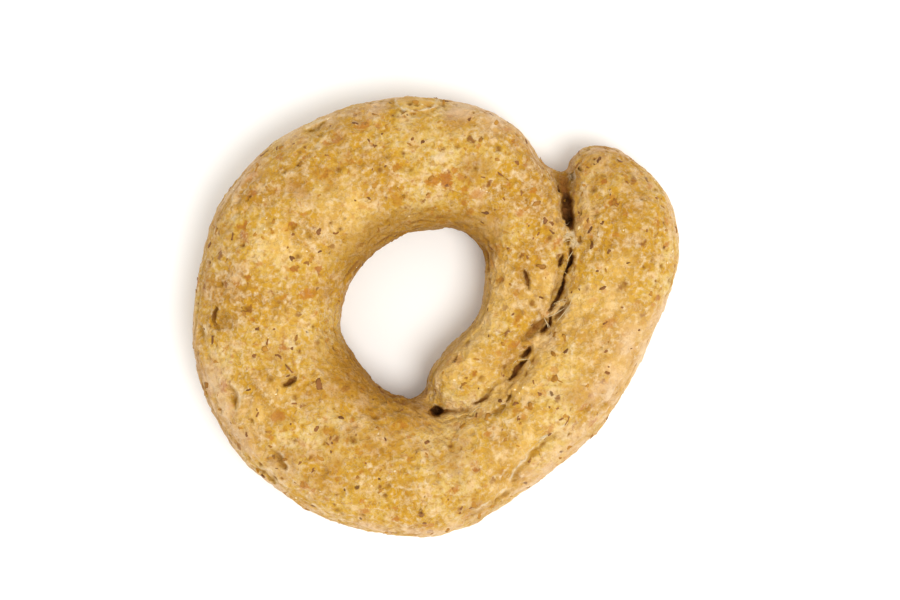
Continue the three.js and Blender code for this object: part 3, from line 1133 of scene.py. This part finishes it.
    def _relief(self, skin: Skin, side: Array, wrinkles: Array) -> Array:
        """Works out how far each point stands out: lumps, crumb and wrinkles along the sides.

        Args:
            skin: the crust's points.
            side: how much of a side each point is on.
            wrinkles: the wrinkles' pattern.

        Returns:
            One height for each point, in mm.
        """
        height = sum(amount * lumps(skin.vectors, size) for size, amount in self.waves)
        height *= 1 - self.side_calm * side
        height += self.wrinkle_height * wrinkles * side
        for x, y, radius, deep in self.nips:
            height -= deep * bell(skin.away(x, y) / radius)
        return height

    def _hole_wall(self, skin: Skin) -> tuple[Array, Array, Array]:
        """Finds the wall of the ring's hole, which gets painted shade and painted light.

        Args:
            skin: the crust's points.

        Returns:
            How much each point faces the hole, and how much it is on the shaded and on the light
            part of its wall.
        """
        outward = skin.points[:, :2] - np.array(self.hole_centre)
        reach = np.hypot(*outward.T)
        facing = -(outward * skin.normals[:, :2]).sum(axis=1) / reach
        near = 1 - smooth_step(reach, *self.hole_reach)
        wall = smooth_step(facing, *self.hole_facing) * near
        lit = smooth_step(outward @ np.array(self.hole_lit) / reach, *self.hole_lit_from)
        dim = smooth_step(np.abs(outward[:, 1]) / reach, *self.hole_shaded)
        return np.maximum(facing, 0) * near, wall * dim * (1 - lit), wall * lit

    def _tone_and_painted_light(
        self, skin: Skin, side: Array, wrinkles: Array, hollow_shade: Array, pore_shade_paint: Array
    ) -> dict[str, Array]:
        """Works out the crust's painted shade and light, its darker baked tone, and its dust.

        Args:
            skin: the crust's points.
            side: how much of a side each point is on.
            wrinkles: the wrinkles' pattern.
            hollow_shade: how much painted shade the marks put on each point.
            pore_shade_paint: how dark the painted shade in the pores makes it.

        Returns:
            The values of four attributes at each point.
        """
        ridge = smooth_step(wrinkles, 0.0, self.wrinkle_top)
        bloom = side * smooth_step(lumps(skin.vectors, self.bloom_mm), *self.bloom_from)
        bloom *= self.bloom_furrows + (1 - self.bloom_furrows) * ridge
        inward, far, bright = self._hole_wall(skin)
        # painted shade on the hole's wall away from the light, painted light on its lit part
        shade = self.hole_shade * far
        # painted shade in the furrows of the side wrinkles
        shade += self.side_furrow_shade * side * smooth_step(-wrinkles, *self.furrows_from)
        # dust with painted sheen on the sides and painted light on the rim
        dust_and_light_mask = np.maximum(self.side_painted_sheen * bloom, skin.glow(self.dust_and_light_patches, self.glow_mm))
        in_hollow, in_hole = self.dust_clear
        clean = np.minimum(in_hollow * (hollow_shade + shade) + in_hole * inward, 1)
        return {
            "hollow_shade": np.maximum.reduce([hollow_shade, pore_shade_paint, shade]),
            "baked_and_painted_shade": skin.glow(self.baked_and_painted_shade, self.glow_mm) + self.hole_painted_shade_brown * far,
            "gold_and_painted_light": skin.glow(self.gold_and_painted_light, self.glow_mm) + bright,
            "dust_and_painted_light": dust_and_light_mask * (1 - clean) * smooth_step(skin.normals[:, 2], *self.under),
        }

    def _pores(self, skin: Skin) -> tuple[Array, Array]:
        """Scatters small open pores over the crust, each with a raised rim.

        Args:
            skin: the crust's points.

        Returns:
            Each point's depth in mm, and how dark the painted shade in its pore makes it.
        """
        rng = random.Random(self.seed)
        tree = KDTree(len(skin.vectors))
        for i, v in enumerate(skin.vectors):
            tree.insert(v, i)
        tree.balance()
        bowl_sharp, rim_sharp = self.pore_sharp
        depth, dark = np.zeros((2, len(skin.vectors)))
        for _ in range(self.pores):
            centre = skin.vectors[rng.randrange(len(skin.vectors))]
            radius = rng.uniform(*self.pore_radius)
            deep = rng.uniform(*self.pore_depth)
            shade = rng.uniform(0, self.pore_shade)
            for _, i, away in tree.find_range(centre, self.pore_reach * radius):
                bowl = bell(away / radius, bowl_sharp)
                rim = bell(away / radius - self.pore_rim_at, rim_sharp)
                depth[i] += deep * (bowl - self.pore_rim * rim)
                dark[i] = max(dark[i], shade * bowl)
        return depth, dark

    def _patched(self, skin: Skin, patches: Iterable[Patch]) -> Array:
        """Tints the upper side with small ragged patches, the strongest at each point.

        Args:
            skin: the crust's points.
            patches: each patch's x, y, radius and strength.

        Returns:
            The tint at each point.
        """
        out = np.zeros(len(skin.points))
        for x, y, radius, strength in patches:
            away = skin.away(x, y)
            near = np.flatnonzero((away < radius * 2) & (skin.points[:, 2] > self.patch_lowest))
            local = [skin.vectors[i] for i in near]
            ragged = away[near] / radius + sum(lumps(local, size) for size in self.patch_ragged)
            patch = strength * (1 - smooth_step(ragged, *self.patch_edge))
            out[near] = np.maximum(out[near], patch)
        return out

    def _marked(self, skin: Skin) -> tuple[Array, Array, Array]:
        """Cuts the marks into the upper side.

        Args:
            skin: the crust's points.

        Returns:
            The depth below the crust at each point, in mm, its painted shade, and how pale it is.
        """
        depth, hollow_shade, pale = np.zeros((3, len(skin.points)))
        up = skin.normals[:, 2]
        upper = np.flatnonzero((up > 0) & (skin.points[:, 2] > self.mark_lowest))
        fade = smooth_step(up, *self.mark_fades)
        for mark in self.marks:
            near = upper[mark.near(skin.points[upper, :2])]
            local = [skin.vectors[i] for i in near]
            away, at, _ = mark.nearest(skin.points[near, :2])
            ragged = lumps(local, self.jitter_size) * self.jitter_mm
            uneven = 1 + mark.broken * 2 * lumps(local, self.uneven_size)
            cut, dark, light = (part * uneven for part in mark.profile(away + ragged, at))
            deeper = np.abs(cut) > np.abs(depth[near])
            depth[near] = np.where(deeper, cut, depth[near])
            hollow_shade[near] = np.maximum(hollow_shade[near], dark)
            pale[near] = np.maximum(pale[near] * (1 - np.minimum(dark * 2, 1)), light)
        return depth * fade, hollow_shade * fade, pale


@dataclass
class Scatter:
    """Scraps of one kind baked into the crust, all over it: flat irregular lenses."""

    name: str
    kind: Scrap
    count: int
    length: Span
    slim: Span  # width as a share of length
    thick: float
    proud: float  # how far the middle stands over the crust
    seed: int
    # x, y, length, width as a share of length, and turn in degrees
    named: tuple[tuple[float, float, float, float, float], ...] = ()
    corners: int = 8
    rings: int = 4
    ragged: Span = (0.7, 1.3)  # how far out its corners are, as a share
    tones: float = 0.6  # how far apart the scraps' tones are
    lowest: float = 0.8  # no scraps below this height

    def build(self, crust: bpy.types.Object) -> bpy.types.Object:
        """Makes the scraps.

        Args:
            crust: the piece that they lie in.

        Returns:
            The piece that holds them all.
        """
        rng = random.Random(self.seed)
        mesh = crust.data
        surface = crust_surface(crust)
        ball = self._ball()
        bm = bmesh.new()
        tone = bm.verts.layers.float.new("tone")
        for x, y, length, slim, turn in self.named:
            spot, normal = spot_below(surface, x, y)
            self._scrap(bm, ball, tone, rng, spot, normal, length, slim, math.radians(turn))
        areas = np.cumsum([p.area for p in mesh.polygons])
        placed = 0
        while placed < self.count:
            face = mesh.polygons[int(np.searchsorted(areas, rng.random() * areas[-1]))]
            spot = face.center / MM
            if spot.z < self.lowest:
                continue
            length, slim = rng.uniform(*self.length), rng.uniform(*self.slim)
            turn = rng.uniform(0, math.tau)
            self._scrap(bm, ball, tone, rng, spot, face.normal, length, slim, turn)
            placed += 1
        bpy.data.meshes.remove(ball)
        return new_piece(self.name, in_metres(bm), self.kind.value.material())

    def _ball(self) -> bpy.types.Mesh:
        """Makes the ball that every scrap is pressed from.

        Returns:
            Its mesh, with a radius of 1.
        """
        bm = bmesh.new()
        bmesh.ops.create_uvsphere(bm, u_segments=self.corners, v_segments=self.rings, radius=1.0)
        ball = bpy.data.meshes.new("ball")
        bm.to_mesh(ball)
        bm.free()
        return ball

    def _scrap(
        self,
        bm: bmesh.types.BMesh,
        ball: bpy.types.Mesh,
        tone: Any,
        rng: random.Random,
        spot: Vector,
        normal: Vector,
        length: float,
        slim: float,
        turn: float,
    ) -> None:
        """Adds one scrap: a ball that is pressed flat, with a ragged outline.

        Args:
            bm: the mesh to add it to.
            ball: the ball.
            tone: the layer that holds each scrap's tone.
            rng: the draws.
            spot: where it lies.
            normal: the crust's normal there.
            length: its length.
            slim: its width as a share of its length.
            turn: the way it points, seen from above.
        """
        half = length / 2
        shade = rng.random() * self.tones
        ragged = [rng.uniform(*self.ragged) for _ in range(self.corners)]
        ahead = Vector((math.cos(turn), math.sin(turn), 0))
        ahead = (ahead - normal * ahead.dot(normal)).normalized()
        place = Matrix.Translation(spot + normal * (self.proud - self.thick)) @ (
            Matrix((ahead, normal.cross(ahead), normal)).transposed().to_4x4()
        )
        bm.from_mesh(ball)
        for vert in bm.verts[-len(ball.vertices) :]:
            k = math.atan2(vert.co.y, vert.co.x) % math.tau / math.tau * self.corners
            low, high = ragged[int(k) % self.corners], ragged[(int(k) + 1) % self.corners]
            out = half * (low + (high - low) * (k - int(k)))
            vert.co = place @ Vector((vert.co.x * out, vert.co.y * out * slim, vert.co.z * self.thick))
            vert[tone] = shade


@dataclass
class Threads:
    """Threads of sticky dough that hold the crack's two lips together."""

    # Each thread's stations: x and y
    lines: tuple[tuple[Point, ...], ...] = (
        ((11.1, 3.95), (11.35, 3.65), (11.65, 3.35)), ((11.85, 5.7), (11.5, 5.15), (11.2, 4.65)),
        ((11.3, 5.6), (11.45, 5.1), (11.3, 4.4)),
        ((10.1, 0.95), (10.55, 1.25), (11.0, 1.55), (11.35, 1.45)),
        ((10.1, 1.05), (10.7, 1.4), (11.4, 1.3)), ((9.75, 0.2), (10.25, 0.6), (10.85, 1.15)),
        ((9.65, 0.0), (10.35, 0.3), (11.2, 0.85)), ((9.45, -0.15), (9.8, -0.75), (9.95, -1.05)),
        ((9.35, -0.05), (9.6, -0.5), (9.75, -0.95)),
        ((10.35, -0.5), (10.8, 0.05), (11.45, 0.9), (11.9, 2.05)),
        ((10.5, -0.25), (11.0, 0.3), (11.55, 1.1)), ((6.65, -4.2), (7.0, -3.75), (8.05, -3.6)),
        ((8.05, -3.6), (8.15, -4.0), (7.9, -4.5)), ((2.9, -8.1), (3.3, -7.7), (3.9, -7.55)),
        ((3.2, -8.2), (3.65, -7.8), (4.1, -7.75)), ((1.4, -8.2), (1.75, -8.6), (2.3, -8.7)),
        ((11.1, 8.1), (11.4, 8.0), (11.65, 8.25)), ((10.95, 6.9), (11.4, 7.1), (11.9, 6.9)),
        ((11.0, 6.4), (11.5, 6.6), (12.0, 6.3)), ((11.2, 7.2), (11.8, 6.6), (12.2, 6.1)),
    )
    radius: float = 0.032
    sides: int = 6
    steps: int = 5
    sag: float = 0.06
    tip: float = 0.35  # the radius at the ends, as a share
    lift: float = 0.3  # how far its middle lies over the crust, in radii
    tone_step: float = 0.37
    tones: float = 0.6  # how far apart the threads' tones are

    def build(self, crust: bpy.types.Object) -> bpy.types.Object:
        """Makes the threads.

        Args:
            crust: the piece that they are stuck to.

        Returns:
            The piece that holds them all.
        """
        surface = crust_surface(crust)
        bm = bmesh.new()
        tone = bm.verts.layers.float.new("tone")
        for number, line in enumerate(self.lines):
            path = Line([(x, y, 0, 0) for x, y in line], steps=self.steps).samples()[:, :2]
            hits = [spot_below(surface, x, y)[0].z for x, y in path]
            before = []
            for i, (x, y) in enumerate(path):
                share = i / (len(path) - 1)
                arch = math.sin(math.pi * share)
                hung = hits[0] + (hits[-1] - hits[0]) * share - self.sag * arch
                centre = Vector((x, y, max(hung, hits[i]) + self.lift * self.radius))
                ahead = path[min(i + 1, len(path) - 1)] - path[max(i - 1, 0)]
                verts = bmesh.ops.create_circle(
                    bm,
                    segments=self.sides,
                    radius=self.radius * (self.tip + (1 - self.tip) * arch**0.5),
                    matrix=Matrix.Translation(centre)
                    @ Vector((*ahead, 0)).to_track_quat("Z", "X").to_matrix().to_4x4(),
                )["verts"]
                for vert in verts:
                    vert[tone] = number * self.tone_step % self.tones
                ring = list(dict.fromkeys(edge for vert in verts for edge in vert.link_edges))
                if before:
                    bmesh.ops.bridge_loops(bm, edges=[*before, *ring])
                before = ring
        bmesh.ops.holes_fill(bm, edges=bm.edges, sides=self.sides)
        bmesh.ops.recalc_face_normals(bm, faces=bm.faces)
        return new_piece("dough_threads", in_metres(bm), Scrap.THREAD.value.material())


def scatters() -> tuple[Scatter, ...]:
    """Lists what is scattered over the crust, with the scraps that stand out where the photo has them.

    Returns:
        The flakes, the slivers and the grains.
    """
    return (
        Scatter(
            "bran_flakes",
            Scrap.FLAKE,
            count=330,
            length=(0.35, 0.85),
            slim=(0.35, 0.75),
            thick=0.05,
            proud=0.02,
            seed=3,
            named=(
                (10.2, -5.25, 0.8, 0.7, 70), (15.3, 9.8, 0.8, 0.8, -50), (-11.8, 4.2, 0.6, 0.7, 30),
                (8.1, -7.6, 0.7, 0.6, 80), (18.9, 1.7, 0.6, 0.6, 60), (6.0, -10.4, 0.5, 0.6, 20),
            ),
        ),
        Scatter(
            "husk_slivers",
            Scrap.HUSK,
            count=220,
            length=(0.28, 0.72),
            slim=(0.35, 0.75),
            thick=0.05,
            proud=0.02,
            seed=5,
            named=(
                (5.5, 12.2, 1.9, 0.14, -30), (-12.15, -4.6, 1.8, 0.14, -50), (-17.2, 6.9, 0.9, 0.3, 80),
                (-9.85, -5.6, 1.2, 0.42, 98), (-12.4, -5.0, 0.5, 0.5, 20), (13.95, 13.45, 1.1, 0.3, 52),
                (16.1, 13.4, 1.4, 0.24, 25), (12.3, 13.2, 0.9, 0.35, 52), (11.3, -8.9, 0.8, 0.3, 62),
                (-14.2, -2.0, 0.7, 0.35, 80), (12.3, 9.0, 0.5, 0.4, 70), (13.3, 7.6, 1.1, 0.25, 60),
                (11.1, -2.9, 0.6, 0.5, 50), (7.9, 5.2, 0.5, 0.5, -60), (8.8, 7.1, 0.5, 0.5, 60),
                (6.2, 5.9, 0.4, 0.7, 20), (14.3, 2.5, 0.6, 0.5, 20), (14.5, -0.5, 0.5, 0.6, 30),
                (17.5, -1.1, 0.4, 0.7, 0), (14.6, -2.9, 0.4, 0.7, 40), (14.3, 8.1, 0.4, 0.7, 70),
                (-13.6, -1.0, 0.4, 0.7, 10), (-12.1, -2.6, 0.4, 0.8, 60), (10.7, 11.2, 0.5, 0.4, 75),
            ),
        ),
        Scatter(
            "semolina_grains",
            Scrap.GRAIN,
            count=50,
            length=(0.14, 0.26),
            slim=(0.5, 0.9),
            thick=0.07,
            proud=0.03,
            seed=8,
            named=(
                (12.3, 7.7, 0.55, 0.7, 40), (-1.1, 18.2, 0.3, 0.8, 0), (6.8, -6.2, 0.3, 0.8, 10),
                (7.2, -6.5, 0.25, 0.7, 70), (7.5, -6.0, 0.25, 0.7, 30),
            ),
        ),
    )


# ---- The studio ------------------------------------------------------------------------------------


@dataclass
class Studio:
    """A pale floor, soft light from all round and above, and the camera straight overhead."""

    floor_size: float = 2.4
    camera_at: tuple[float, float, float] = (1.26 * MM, 1.48 * MM, 222.1 * MM)
    lens: float = 100.0
    clip: Span = (0.01, 10.0)
    world_colour: str = "#FFFFFF"
    world_strength: float = 0.95
    key_power: float = 1.05
    key_size: float = 0.22
    key_from: tuple[float, float, float] = (0.11, -0.1, 0.37)

    def build(self) -> None:
        """Makes the floor, the lights and the camera."""
        self._floor()
        self._light()
        self._camera()

    def _floor(self) -> None:
        """Lays a sheet of studio paper under the tarallo."""
        bm = bmesh.new()
        bmesh.ops.create_grid(bm, x_segments=1, y_segments=1, size=self.floor_size / 2)
        mesh = bpy.data.meshes.new("floor")
        bm.to_mesh(mesh)
        bm.free()
        mesh.materials.append(StudioPaper().material())
        floor = bpy.data.objects.new("floor", mesh)
        bpy.context.scene.collection.objects.link(floor)

    def _light(self) -> None:
        """Sets even white surroundings and one large soft box, a little to the lower right."""
        scene = bpy.context.scene
        scene.view_settings.view_transform = "Standard"
        world = bpy.data.worlds.new("studio")
        world.use_nodes = True
        background = world.node_tree.nodes["Background"]
        background.inputs["Color"].default_value = linear(self.world_colour)
        background.inputs["Strength"].default_value = self.world_strength
        scene.world = world
        lamp = bpy.data.lights.new("soft_box", "AREA")
        lamp.shape = "DISK"
        lamp.size = self.key_size
        lamp.energy = self.key_power
        light = bpy.data.objects.new("soft_box", lamp)
        light.location = self.key_from
        light.rotation_euler = (-Vector(self.key_from)).to_track_quat("-Z", "Y").to_euler()
        scene.collection.objects.link(light)

    def _camera(self) -> None:
        """Sets a long lens that looks straight down."""
        data = bpy.data.cameras.new("camera")
        data.lens = self.lens
        data.clip_start, data.clip_end = self.clip
        camera = bpy.data.objects.new("camera", data)
        camera.location = self.camera_at
        bpy.context.scene.collection.objects.link(camera)
        bpy.context.scene.camera = camera


def report(piece: bpy.types.Object) -> None:
    """Logs a piece's name and how many faces it has."""
    log.info("%s: %d faces", piece.name, len(piece.data.polygons))


def main() -> None:
    """Builds the studio and the tarallo, and reports each of its pieces."""
    logging.basicConfig(level=logging.INFO, format="%(name)s %(relativeCreated)5d ms: %(message)s")
    Studio().build()
    crust = Crust().build()
    report(crust)
    for part in (Threads(), *scatters()):
        report(part.build(crust))


if __name__ == "__main__":
    main()
